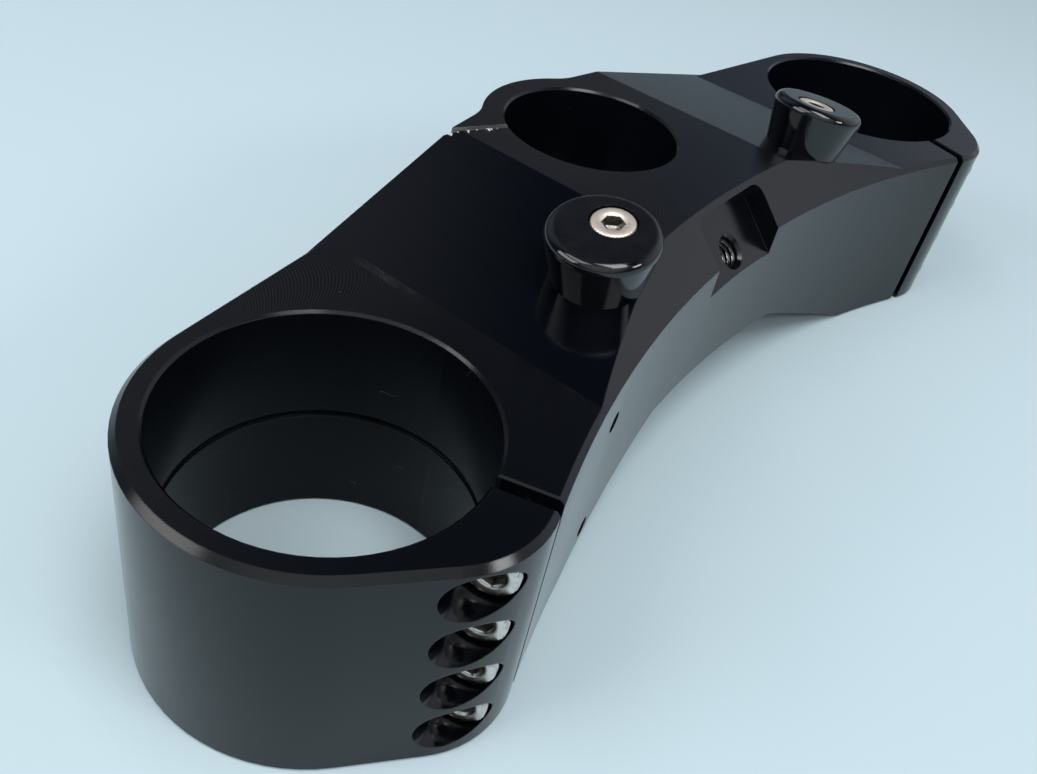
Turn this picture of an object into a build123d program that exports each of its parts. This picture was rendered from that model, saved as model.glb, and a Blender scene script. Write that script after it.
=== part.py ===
from build123d import *
import os
from math import acos, atan, atan2, cos, degrees, radians, sin, sqrt

# Lower triple clamp of a motorcycle fork, milled from one billet, with its pinch bolts and its two
# turning steering stops. Millimetres. The origin is on the steering stem's axis, level with the tops
# of the fork lugs. +X points to the rider's left, +Y to the rear and +Z up.

# Fork lugs
fork_spacing = 212.0
fork_offset = 26.0
fork_bore = 54.0
fork_wall = 4.6
lug_height = 47.0
groove_width = 1.6
groove_depth = 0.6

# Stem bore and the boss round it
stem_bore = 40.0
stem_wall = 5.3
back_wall = 1.7
boss_fillet = 12.0

# Crown plate between the lugs
crown_rise = 8.0
crown_margin = 8.0
plate_thickness = 39.0
foot_margin = 8.0
front_waist = 18.7
tab_reach = 14.2
flank_angle = 51.5
nose_radius = 19.0

# Edges
edge_chamfer = 1.1
under_chamfer = 0.6
bore_chamfer = 0.5

# Fork slits and their pinch bolts
fork_slit = 2.4
slit_edge = 0.3
slit_angle = 18.5
pinch_count = 4
pinch_edge_top = 6.5
pinch_edge_low = 7.5
pinch_wall = 5.0
pinch_land = 6.8
pinch_length = 20.0

# Stem slit and its pinch bolts
stem_slit = 1.7
stem_slit_angle = 24.7
stem_slit_offset = 3.2
stem_pinch_edge = 9.75
stem_pinch_wall = 7.0
stem_pinch_land = 3.2
stem_pinch_length = 16.0

# Socket head screws
screw_size = 5.0
screw_head = 8.7
screw_head_height = 5.0
screw_socket = 4.0
screw_socket_depth = 2.6
screw_edge = 0.4
thread_gap = 0.05
shank_gap = 0.25
head_gap = 0.5
thread_run_out = 2.0

# Steering stops
stop_from_crown = 14.8
stop_forward = 7.7
stop_throw = 2.8
stop_base = 18.0
stop_top = 22.6
stop_height = 11.3
stop_rim = 1.8
stop_bore_gap = 0.04
stop_head_gap = 0.3
stop_head_sink = 0.1
stop_screw_length = 20.0

# Bracket pocket in the front bevel, with its tapped hole
pocket_width = 28.0
pocket_depth = 4.6
pocket_run = 11.3
pocket_corner = 3.5
bracket_hole = 6.8
bracket_mouth = 8.2
bracket_hole_depth = 18.0
bracket_hole_up = 0.5

# Hose guide holes in the front face, on the rider's right
hose_hole = 4.2
hose_hole_depth = 12.0
hose_hole_from_fork = 46.0
hose_hole_top = 11.2
hose_hole_pitch = 28.0

# Levels and radii that follow from the sizes above
half_spacing = fork_spacing / 2
fork_radius = fork_bore / 2
lug_radius = fork_radius + fork_wall
stem_radius = stem_bore / 2
boss_radius = stem_radius + stem_wall
under_plate = crown_rise - plate_thickness
crown_edge = stem_radius + crown_margin
shoulder_foot = half_spacing - fork_radius - foot_margin
shoulder_slope = crown_rise / (shoulder_foot - crown_edge)
shoulder_tilt = degrees(atan(shoulder_slope))
past_part = fork_spacing

# The front face is one arc: it passes the waist on the centre line and the tab's reach at the lugs.
arc_drop = fork_radius + tab_reach - front_waist
front_radius = (half_spacing**2 + arc_drop**2) / (2 * arc_drop)
front_face = -fork_offset - front_waist
front_centre = front_face - front_radius

SIDES = {"right": -1, "left": 1}


def turned(angle):
    """Unit vector in plan at an angle from +X, in degrees."""
    return Vector(cos(radians(angle)), sin(radians(angle)))


def line_meets_arc(start, direction, centre, radius):
    """Nearest point ahead of start where a line meets a circle in plan."""
    to_start = start - centre
    along = to_start.dot(direction)
    inside = along**2 - to_start.dot(to_start) + radius**2
    return start + direction * (-along - sqrt(inside))


def plan_outline():
    """The billet's outline seen from above, with the nose and boss corners rounded."""
    lug = Vector(half_spacing, -fork_offset)
    web_radius = stem_radius + back_wall
    lean = degrees(acos((web_radius - lug_radius) / lug.length))
    back_normal = turned(degrees(atan2(lug.Y, lug.X)) + lean)
    back_along = Vector(back_normal.Y, -back_normal.X)
    boss_corner = back_normal * web_radius + back_along * sqrt(boss_radius**2 - web_radius**2)
    back_tangent = lug + back_normal * lug_radius
    flank_normal = turned(-flank_angle)
    flank_tangent = lug + flank_normal * lug_radius
    flank_along = Vector(flank_normal.Y, -flank_normal.X)
    arc_centre = Vector(0, front_centre)
    nose_corner = line_meets_arc(flank_tangent, flank_along, arc_centre, front_radius)

    half = Line(boss_corner, back_tangent)
    half += ThreePointArc(back_tangent, lug + turned(0) * lug_radius, flank_tangent)
    half += Line(flank_tangent, nose_corner)
    boss_mirror = Vector(-boss_corner.X, boss_corner.Y)
    nose_mirror = Vector(-nose_corner.X, nose_corner.Y)
    outline = half + mirror(half, about=Plane.YZ)
    outline += ThreePointArc(boss_corner, (0, boss_radius), boss_mirror)
    outline += ThreePointArc(nose_corner, (0, front_face), nose_mirror)
    face = make_face(outline.edges())
    for corner in (nose_corner, nose_mirror):
        face = fillet(face.vertices().sort_by_distance(corner)[0], nose_radius)
    for corner in (boss_corner, boss_mirror):
        face = fillet(face.vertices().sort_by_distance(corner)[0], boss_fillet)
    return face


def side_profile():
    """The billet seen from the front: raised crown, sloping shoulders and relieved underside."""
    half = [
        (0, crown_rise),
        (crown_edge, crown_rise),
        (shoulder_foot, 0),
        (past_part, 0),
        (past_part, -lug_height),
        (shoulder_foot, -lug_height),
        (crown_edge, under_plate),
        (0, under_plate),
    ]
    other = [(-x, z) for x, z in reversed(half[1:-1])]
    return Plane.XZ * Polygon(*half, *other, align=None)


def is_lug_rim(edge, level):
    """Whether an edge lies on a lug's rim at one level and isn't the shoulder's foot."""
    middle = edge @ 0.5
    beyond = abs(middle.X) > shoulder_foot + edge_chamfer
    return beyond and abs(middle.Z - level) < edge_chamfer / 2


def billet():
    """The milled blank before any hole is made."""
    tall = extrude(plan_outline(), crown_rise)
    tall += extrude(plan_outline(), -lug_height)
    return tall & extrude(side_profile(), past_part, both=True)


def lug_centre(side):
    """Fork axis of one side, at the level of the lug's top."""
    return Vector(side * half_spacing, -fork_offset, 0)


def bore_cutter(radius, top, bottom):
    """A bore with a chamfer at both mouths, on the Z axis."""
    wide = radius + bore_chamfer
    profile = [
        (0, top),
        (wide, top),
        (radius, top - bore_chamfer),
        (radius, bottom + bore_chamfer),
        (wide, bottom),
        (0, bottom),
    ]
    return revolve(Plane.XZ * Polygon(*profile, align=None), Axis.Z)


def fork_bore_cutter():
    """A fork bore with the relief groove at half its height."""
    groove = Cylinder(fork_radius + groove_depth, groove_width)
    return bore_cutter(fork_radius, 0, -lug_height) + Pos(0, 0, -lug_height / 2) * groove


def fork_slit_plane(side):
    """Plane on a fork axis: x runs along the slit to the front, z along the bolts to their heads."""
    along = turned(-90 - side * slit_angle)
    outboard = Vector(-side * along.Y, side * along.X)
    return Plane(lug_centre(side), x_dir=along, z_dir=outboard)


def stem_slit_plane():
    """Plane on the stem slit: x runs along the slit to the rear edge, z along the bolts to their heads."""
    along = turned(180 - stem_slit_angle)
    rearward = turned(90 - stem_slit_angle)
    return Plane(rearward * stem_slit_offset, x_dir=along, z_dir=rearward)


def pinch_seats(side):
    """Where the heads of one lug's pinch bolts seat, as planes whose z points out of the head."""
    plane = fork_slit_plane(side)
    step = (lug_height - pinch_edge_top - pinch_edge_low) / (pinch_count - 1)
    reach = fork_radius + pinch_wall
    flip = plane.y_dir.Z
    levels = [-pinch_edge_top - step * index for index in range(pinch_count)]
    return [plane * Pos(reach, flip * level, pinch_land) for level in levels]


def stem_pinch_seats():
    """Where the heads of the stem's pinch bolts seat."""
    plane = stem_slit_plane()
    reach = sqrt(stem_radius**2 - stem_slit_offset**2) + stem_pinch_wall
    flip = plane.y_dir.Z
    levels = (crown_rise - stem_pinch_edge, under_plate + stem_pinch_edge)
    return [plane * Pos(reach, flip * level, stem_pinch_land) for level in levels]


def pinch_cutter(land, length):
    """Counterbore, clearance hole and tapped hole of one pinch bolt, seat at z = 0."""
    counterbore = Cylinder(
        screw_head / 2 + head_gap, lug_radius, align=(Align.CENTER, Align.CENTER, Align.MIN)
    )
    clearance = Cylinder(
        screw_size / 2 + shank_gap, land, align=(Align.CENTER, Align.CENTER, Align.MAX)
    )
    thread = Cylinder(
        screw_size / 2, length + thread_run_out, align=(Align.CENTER, Align.CENTER, Align.MAX)
    )
    return counterbore + clearance + thread


def slit_cutter(plane, width, start, end):
    """A straight saw cut through the full height of the part."""
    slab = Box(end - start, past_part, width, align=(Align.MIN, Align.CENTER, Align.CENTER))
    return plane * (Pos(start, 0, 0) * slab)


def slit_edge_cutters(plane, width, end):
    """Bars on edge that break both lips of a fork slit, at the lug's top and at its foot."""
    side = (width + 2 * slit_edge) / sqrt(2)
    bar = Rot(45, 0, 0) * Box(end, side, side, align=(Align.MIN, Align.CENTER, Align.CENTER))
    return [plane * Pos(0, level, 0) * bar for level in (0, -plane.y_dir.Z * lug_height)]


def shoulder_plane(side):
    """Plane on a shoulder at the stop screw: z is the shoulder's normal, x points to the centre line."""
    across = crown_edge + stop_from_crown
    level = crown_rise - shoulder_slope * stop_from_crown
    origin = (side * across, -fork_offset - stop_forward, level)
    normal = Vector(side * sin(radians(shoulder_tilt)), 0, cos(radians(shoulder_tilt)))
    inward = Vector(-side * cos(radians(shoulder_tilt)), 0, sin(radians(shoulder_tilt)))
    return Plane(origin, x_dir=inward, z_dir=normal)


def bevel_cutter():
    """The 45 degree bevel along the front arc, a plain chamfer at the lugs and wide at the crown."""
    tall = crown_rise + edge_chamfer
    under = edge_chamfer
    profile = [
        (front_radius - under, -edge_chamfer - under),
        (front_radius + 2 * tall, -edge_chamfer + 2 * tall),
        (front_radius - under, -edge_chamfer + 2 * tall),
    ]
    ring = revolve(Plane.XZ * Polygon(*profile, align=None), Axis.Z)
    return Pos(0, front_centre, 0) * ring


def bevel_plane():
    """Plane on the bevel's foot at the centre line: y runs up the bevel, z points out of it."""
    origin = (0, front_face, -edge_chamfer)
    return Plane(origin, x_dir=(1, 0, 0), z_dir=(0, -1, 1))


def pocket_cutter():
    """The bracket pocket, milled square to the bevel and open at the front, with its tapped hole."""
    below = 2 * pocket_depth
    length = pocket_run + below
    shape = Pos(0, pocket_run - length / 2) * Rectangle(pocket_width, length)
    back = shape.vertices().sort_by(Axis.Y)[-2:]
    shape = fillet(back, pocket_corner)
    pocket = extrude(shape, -pocket_depth) + extrude(shape, pocket_width)
    hole = Cylinder(
        bracket_hole / 2, bracket_hole_depth, align=(Align.CENTER, Align.CENTER, Align.MAX)
    )
    sink = (bracket_mouth - bracket_hole) / 2
    mouth = Cone(
        bracket_hole / 2, bracket_mouth / 2, sink, align=(Align.CENTER, Align.CENTER, Align.MAX)
    )
    return bevel_plane() * (pocket + Pos(0, bracket_hole_up, -pocket_depth) * (hole + mouth))


def hose_hole_cutters():
    """Two blind tapped holes, one above the other, drilled from the front."""
    across = hose_hole_from_fork - half_spacing
    face = front_centre + sqrt(front_radius**2 - across**2)
    drill = Cylinder(hose_hole / 2, 2 * hose_hole_depth, rotation=(90, 0, 0))
    levels = (-hose_hole_top, -hose_hole_top - hose_hole_pitch)
    return [Pos(across, face, level) * drill for level in levels]


def clamp_body():
    """The milled clamp with every bore, slit, pocket and hole."""
    body = billet()
    body = chamfer(body.edges().filter_by(lambda edge: is_lug_rim(edge, 0)), edge_chamfer)
    body = chamfer(body.edges().filter_by(lambda edge: is_lug_rim(edge, -lug_height)), under_chamfer)
    body -= bevel_cutter()
    body -= bore_cutter(stem_radius, crown_rise, under_plate)
    body -= slit_cutter(stem_slit_plane(), stem_slit, 0, past_part)
    for seat in stem_pinch_seats():
        body -= seat * pinch_cutter(stem_pinch_land, stem_pinch_length)
    stop_hole = Cylinder(
        screw_size / 2,
        stop_screw_length,
        align=(Align.CENTER, Align.CENTER, Align.MAX),
    )
    for side in SIDES.values():
        body -= Pos(*lug_centre(side)) * fork_bore_cutter()
        slit = fork_slit_plane(side)
        body -= slit_cutter(slit, fork_slit, 0, lug_radius + tab_reach)
        for cutter in slit_edge_cutters(slit, fork_slit, lug_radius + tab_reach):
            body -= cutter
        for seat in pinch_seats(side):
            body -= seat * pinch_cutter(pinch_land, pinch_length)
        body -= shoulder_plane(side) * stop_hole
    body -= pocket_cutter()
    for cutter in hose_hole_cutters():
        body -= cutter
    return body


def cap_screw(length):
    """A socket head cap screw, seat at z = 0 and head up."""
    head = Cylinder(
        screw_head / 2, screw_head_height, align=(Align.CENTER, Align.CENTER, Align.MIN)
    )
    head = chamfer(head.edges().sort_by(Axis.Z)[-1], screw_edge)
    shank = Cylinder(
        screw_size / 2 - thread_gap, length, align=(Align.CENTER, Align.CENTER, Align.MAX)
    )
    shank = chamfer(shank.edges().sort_by(Axis.Z)[0], screw_edge)
    key = RegularPolygon(screw_socket / 2, 6, major_radius=False)
    socket = Pos(0, 0, screw_head_height) * extrude(key, -screw_socket_depth)
    return head + shank - socket


def steering_stop():
    """A conical bumper with a rounded rim, bored off centre for its screw. The screw is on the Z axis."""
    profile = [(0, 0), (stop_base / 2, 0), (stop_top / 2, stop_height), (0, stop_height)]
    cone = revolve(Plane.XZ * Polygon(*profile, align=None), Axis.Z)
    cone = fillet(cone.edges().sort_by(Axis.Z)[-1], stop_rim)
    seat = stop_height - screw_head_height - stop_head_sink
    hole = Cylinder(
        screw_size / 2 + stop_bore_gap, stop_height, align=(Align.CENTER, Align.CENTER, Align.MIN)
    )
    recess = Pos(0, 0, seat) * Cylinder(
        screw_head / 2 + stop_head_gap, stop_height, align=(Align.CENTER, Align.CENTER, Align.MIN)
    )
    return Pos(-stop_throw, 0, 0) * cone - hole - recess


def build():
    """Every node by name, each a list of solids."""
    stop_seat = stop_height - screw_head_height - stop_head_sink
    nodes = {"clamp_body": [clamp_body()]}
    for name, side in SIDES.items():
        bolts = [seat * cap_screw(pinch_length) for seat in pinch_seats(side)]
        nodes[f"{name}_pinch_bolts"] = bolts
        nodes[f"{name}_steering_stop"] = [shoulder_plane(side) * steering_stop()]
        stop_screw = Pos(0, 0, stop_seat) * cap_screw(stop_screw_length)
        nodes[f"{name}_stop_screw"] = [shoulder_plane(side) * stop_screw]
    stem_bolts = [seat * cap_screw(stem_pinch_length) for seat in stem_pinch_seats()]
    nodes["stem_pinch_bolts"] = stem_bolts
    return nodes


os.makedirs("parts", exist_ok=True)
for node, solids in build().items():
    shape = Compound(children=[solid for part in solids for solid in part.solids()])
    export_step(shape, f"parts/{node}.step")
    print(node, len(shape.solids()), round(shape.volume, 1))
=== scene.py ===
import logging
import math
import random
from dataclasses import dataclass
from enum import Enum
from typing import Any

import bmesh
import bpy
from mathutils import Matrix, Vector


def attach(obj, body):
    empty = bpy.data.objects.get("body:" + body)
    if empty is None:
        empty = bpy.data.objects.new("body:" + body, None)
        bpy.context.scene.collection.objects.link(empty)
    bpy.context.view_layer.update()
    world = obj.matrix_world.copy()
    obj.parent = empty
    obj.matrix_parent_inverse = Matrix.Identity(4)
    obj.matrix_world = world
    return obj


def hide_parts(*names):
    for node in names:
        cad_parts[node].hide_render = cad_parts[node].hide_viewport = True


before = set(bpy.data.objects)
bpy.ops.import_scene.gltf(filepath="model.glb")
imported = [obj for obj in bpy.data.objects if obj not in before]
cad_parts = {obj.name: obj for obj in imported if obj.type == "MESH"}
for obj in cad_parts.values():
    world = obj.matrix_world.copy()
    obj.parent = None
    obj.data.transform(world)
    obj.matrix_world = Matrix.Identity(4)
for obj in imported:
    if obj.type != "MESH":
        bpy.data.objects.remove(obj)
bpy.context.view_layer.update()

# A millimetre and the reach within which points are welded, in metres, and a whole turn in radians.
MM = 0.001
WELD = 1e-7
TURN = 2 * math.pi
log = logging.getLogger("triple_clamp")

Colour = tuple[float, float, float]
Point = tuple[float, float, float]
Span = tuple[float, float]
RingRow = tuple[float, float, float]
Ring = list[Vector]


class Side(Enum):
    """The rider's right or left half of the clamp, with the sign of its X."""

    RIGHT = -1
    LEFT = 1

    @property
    def word(self) -> str:
        """The side's name as it stands in a piece's name."""
        return self.name.lower()


class Body(Enum):
    """The rigid bodies that a piece may ride on."""

    CLAMP = "clamp"
    RIGHT_STOP = "right_stop"
    LEFT_STOP = "left_stop"


class Slot(Enum):
    """The material slots of the pieces that are made here."""

    BILLET = "anodised_billet"
    SCREW = "stainless_screw"


class Tap(Enum):
    """Coarse threads on the part: drilled radius, ridge height and pitch in millimetres."""

    M5 = (2.1, 0.28, 0.8)
    M8 = (3.4, 0.42, 1.25)


class Signal:
    """One shader value. Sums, products and comparisons of values add their Math nodes."""

    def __init__(self, graph: "Graph", socket: bpy.types.NodeSocket) -> None:
        """Keep the socket and the graph that it belongs to."""
        self.graph = graph
        self.socket = socket

    def beside(self, output: str) -> "Signal":
        """Another output of the same node."""
        return Signal(self.graph, self.socket.node.outputs[output])

    def step(self, operation: str, *others: "Signal | float") -> "Signal":
        """One Math node on this value and the others."""
        return self.graph.maths(operation, self, *others)

    def __add__(self, other: "Signal | float") -> "Signal":
        """Sum."""
        return self.step("ADD", other)

    __radd__ = __add__

    def __sub__(self, other: "Signal | float") -> "Signal":
        """Difference."""
        return self.step("SUBTRACT", other)

    def __rsub__(self, other: float) -> "Signal":
        """Difference from a number."""
        return self.graph.maths("SUBTRACT", other, self)

    def __mul__(self, other: "Signal | float") -> "Signal":
        """Product."""
        return self.step("MULTIPLY", other)

    __rmul__ = __mul__

    def __truediv__(self, other: "Signal | float") -> "Signal":
        """Quotient."""
        return self.step("DIVIDE", other)

    def __rtruediv__(self, other: float) -> "Signal":
        """Quotient of a number."""
        return self.graph.maths("DIVIDE", other, self)

    def __abs__(self) -> "Signal":
        """Size without its sign."""
        return self.step("ABSOLUTE")

    def wave(self) -> "Signal":
        """Sine that repeats every whole number."""
        return (self * TURN).step("SINE")

    def root(self) -> "Signal":
        """Square root."""
        return self.step("SQRT")

    def angle_to(self, across: "Signal") -> "Signal":
        """Angle of the point (across, this value) in radians."""
        return self.step("ARCTAN2", across)

    def at_least(self, least: "Signal | float") -> "Signal":
        """The larger of two values."""
        return self.step("MAXIMUM", least)

    def at_most(self, most: "Signal | float") -> "Signal":
        """The smaller of two values."""
        return self.step("MINIMUM", most)

    def rise(self, low: float, high: float) -> "Signal":
        """0 below low, 1 above high and a smooth step between them."""
        sockets = {"Value": self, "From Min": low, "From Max": high}
        return self.graph.add("ShaderNodeMapRange", {"interpolation_type": "SMOOTHSTEP"}, sockets)

    def fall(self, low: float, high: float) -> "Signal":
        """1 below low, 0 above high and a smooth step between them."""
        return 1 - self.rise(low, high)

    def band(self, low: float, high: float, soft: float) -> "Signal":
        """1 between low and high, with soft edges, and 0 outside them."""
        return self.rise(low - soft, low) * self.fall(high, high + soft)

    def above(self, least: float) -> "Signal":
        """0 raised to a least value, with 1 left as it is."""
        return self * (1 - least) + least


class Graph:
    """The nodes of one material or of the world."""

    def __init__(self, tree: bpy.types.NodeTree) -> None:
        """Start from an empty tree."""
        self.tree = tree
        tree.nodes.clear()

    @classmethod
    def material(cls, name: str) -> "tuple[Graph, bpy.types.Material]":
        """Start a new material.

        Args:
            name: Its name.

        Returns:
            Its graph and the material.
        """
        made = bpy.data.materials.new(name)
        made.use_nodes = True
        return cls(made.node_tree), made

    def feed(self, socket: bpy.types.NodeSocket, value: Any) -> None:
        """Link a socket to a signal, or set its value.

        Args:
            socket: The socket.
            value: A signal, a number, a vector or a colour without its alpha.
        """
        if isinstance(value, Signal):
            self.tree.links.new(value.socket, socket)
        elif isinstance(value, tuple) and len(socket.default_value) == 4 and len(value) == 3:
            socket.default_value = (*value, 1.0)
        else:
            socket.default_value = value

    def add(
        self,
        kind: str,
        settings: dict[str, Any] | None = None,
        sockets: dict[str | int, Any] | None = None,
        output: str | int = 0,
    ) -> Signal:
        """Add a node.

        Args:
            kind: The node's type.
            settings: Its properties, set before anything else.
            sockets: Values or links of its inputs, by name or number.
            output: The output that is given back.

        Returns:
            The chosen output, or the first input of a node that has no output.
        """
        node = self.tree.nodes.new(kind)
        for name, value in (settings or {}).items():
            setattr(node, name, value)
        for name, value in (sockets or {}).items():
            self.feed(node.inputs[name], value)
        outputs = node.outputs
        return Signal(self, outputs[output]) if len(outputs) else Signal(self, node.inputs[0])

    def maths(self, operation: str, *values: Signal | float) -> Signal:
        """One Math node on up to three values."""
        return self.add("ShaderNodeMath", {"operation": operation}, dict(enumerate(values)))

    def vector(self, operation: str, sockets: dict[str | int, Any], output: str = "Vector") -> Signal:
        """One Vector Math node."""
        return self.add("ShaderNodeVectorMath", {"operation": operation}, sockets, output)

    def aligned(self, first: Any, second: Any) -> Signal:
        """The dot product of two vectors."""
        return self.vector("DOT_PRODUCT", {0: first, 1: second}, "Value")

    def stretched(self, vector: Signal, shares: Point) -> Signal:
        """A vector with each part times its own share."""
        return self.vector("MULTIPLY", {0: vector, 1: shares})

    def split(self, vector: Signal) -> tuple[Signal, Signal, Signal]:
        """The three parts of a vector."""
        x = self.add("ShaderNodeSeparateXYZ", None, {"Vector": vector})
        return x, x.beside("Y"), x.beside("Z")

    def join(self, x: Signal | float, y: Signal | float, z: Signal | float) -> Signal:
        """A vector from its three parts."""
        return self.add("ShaderNodeCombineXYZ", None, {"X": x, "Y": y, "Z": z})

    def place(self) -> Signal:
        """The point on the part, in millimetres."""
        point = self.add("ShaderNodeTexCoord", None, None, "Object")
        return self.vector("SCALE", {"Vector": point, "Scale": 1 / MM})

    def about(self, place: Signal, centre: Point, axis: Point) -> tuple[Signal, Signal]:
        """Measure a point from an axis.

        Args:
            place: The point.
            centre: A point on the axis.
            axis: The way along it.

        Returns:
            How far the point is from the axis, and how far up along it.
        """
        arm = self.vector("SUBTRACT", {0: place, 1: centre})
        up = self.aligned(arm, axis)
        lift = self.vector("SCALE", {"Vector": axis, "Scale": up})
        return self.vector("LENGTH", {0: self.vector("SUBTRACT", {0: arm, 1: lift})}, "Value"), up

    def facing(self) -> Signal:
        """The way that the surface faces."""
        return self.add("ShaderNodeNewGeometry", None, None, "True Normal")

    def noise(self, vector: Signal, scale: float, detail: float = 3.0, rough: float = 0.5) -> Signal:
        """Cloudy noise from 0 to 1."""
        sockets = {"Vector": vector, "Scale": scale, "Detail": detail, "Roughness": rough}
        return self.add("ShaderNodeTexNoise", None, sockets)

    def mix(self, factor: Signal | float, first: Any, second: Any) -> Signal:
        """One colour blended into another."""
        # A Mix node has sockets for every data type, and those of its colours are 6, 7 and output 2.
        sockets = {0: factor, 6: first, 7: second}
        return self.add("ShaderNodeMix", {"data_type": "RGBA"}, sockets, 2)

    def soft_edge(self, radius: float) -> Signal:
        """The surface's normal, turned smoothly over its edges."""
        return self.add("ShaderNodeBevel", {"samples": 2}, {"Radius": radius * MM})

    def bump(self, height: Signal, depth: float, normal: Signal | None = None) -> Signal:
        """A normal from a height.

        Args:
            height: The height.
            depth: Its unit in millimetres.
            normal: The normal that it stands on, or none for the surface's own.

        Returns:
            The normal.
        """
        sockets: dict[str | int, Any] = {"Strength": 1.0, "Distance": depth * MM, "Height": height}
        if normal:
            sockets["Normal"] = normal
        return self.add("ShaderNodeBump", None, sockets)

    def shader(self, sockets: dict[str | int, Any]) -> Signal:
        """A Principled shader."""
        return self.add("ShaderNodeBsdfPrincipled", None, sockets)

    def surface(self, sockets: dict[str | int, Any]) -> None:
        """A Principled shader on the material's output."""
        self.add("ShaderNodeOutputMaterial", None, {"Surface": self.shader(sockets)})

    def blend(self, factor: Signal, first: Signal, second: Signal) -> None:
        """Two shaders, one blended into the other, on the material's output."""
        both = self.add("ShaderNodeMixShader", None, {0: factor, 1: first, 2: second})
        self.add("ShaderNodeOutputMaterial", None, {"Surface": both})


def plan_way(angle: float) -> Vector:
    """Unit vector in plan at an angle from +X, in degrees."""
    return Vector((math.cos(math.radians(angle)), math.sin(math.radians(angle)), 0.0))


def middle_of(ring: Ring) -> Vector:
    """The mean of a ring's points."""
    return sum(ring, Vector()) / len(ring)


@dataclass(frozen=True)
class BilletPlan:
    """The billet's main lines in millimetres, from the stem's axis and the level of the lugs' tops."""

    half_spacing: float = 106.0
    fork_ahead: float = 26.0
    fork_radius: float = 27.0
    stem_radius: float = 20.0
    front_centre: float = -305.64
    crown_rise: float = 8.0
    crown_half: float = 28.0
    lug_edge: float = 71.0

    @property
    def shoulder(self) -> float:
        """How far a shoulder falls in each millimetre on its way out to its lug."""
        return self.crown_rise / (self.lug_edge - self.crown_half)

    def top(self, across: float) -> float:
        """Height of the crown or of a shoulder at a distance across."""
        return self.crown_rise - self.shoulder * max(0.0, abs(across) - self.crown_half)


@dataclass(frozen=True)
class SawCut:
    """A saw cut in plan: its angle in degrees, and its offset from the stem and width in millimetres."""

    angle: float
    offset: float
    width: float

    @property
    def run(self) -> Vector:
        """The way along the cut, out of its bore."""
        return plan_way(self.angle)

    @property
    def across(self) -> Vector:
        """The way across the cut, to its rear."""
        return plan_way(self.angle - 90)

    @property
    def start(self) -> Vector:
        """The point of its middle line that is nearest to the stem's axis."""
        return self.across * self.offset

    def reach(self, x: Signal, y: Signal) -> Signal:
        """How far along the cut a point lies."""
        return (x - self.start.x) * self.run.x + (y - self.start.y) * self.run.y

    def off(self, x: Signal, y: Signal) -> Signal:
        """How far a point lies from the middle of the cut."""
        return abs((x - self.start.x) * self.across.x + (y - self.start.y) * self.across.y)


PLAN = BilletPlan()
STEM_CUT = SawCut(angle=155.3, offset=3.2, width=1.7)


@dataclass(frozen=True)
class CutterPass:
    """Evenly spaced marks of a cutter: pitch in millimetres, and height as a share of the mark depth."""

    pitch: float
    height: float

    def ripple(self, along: Signal) -> Signal:
        """The marks' height along the cutter's feed."""
        return (along / self.pitch).wave() * self.height


class BilletPoint:
    """A shaded point on the billet: its place in millimetres, the way it faces and its distances."""

    def __init__(self, graph: Graph) -> None:
        """Measure the point from the stem's axis and from the nearer fork's axis.

        Args:
            graph: The material's graph.
        """
        self.graph = graph
        self.place = graph.place()
        self.facing = graph.facing()
        self.x, self.y, self.z = graph.split(self.place)
        self.face_x, self.face_y, self.face_z = graph.split(self.facing)
        self.level = abs(self.face_z)
        self.out = abs(self.x)
        self.fork_x = self.out - PLAN.half_spacing
        self.fork_y = self.y + PLAN.fork_ahead
        self.fork_r = (self.fork_x * self.fork_x + self.fork_y * self.fork_y).root()
        self.stem_r = (self.x * self.x + self.y * self.y).root()

    @property
    def fork_turn(self) -> Signal:
        """Angle round the nearer fork's axis."""
        return self.fork_y.angle_to(self.fork_x)


@dataclass(frozen=True)
class BilletZones:
    """Zones of the billet at a shaded point, each 1 inside the zone and 0 outside it."""

    flat: Signal
    ramp: Signal
    bevel: Signal
    wall: Signal
    in_fork: Signal
    in_bore: Signal
    groove: Signal
    sawn: Signal


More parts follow.
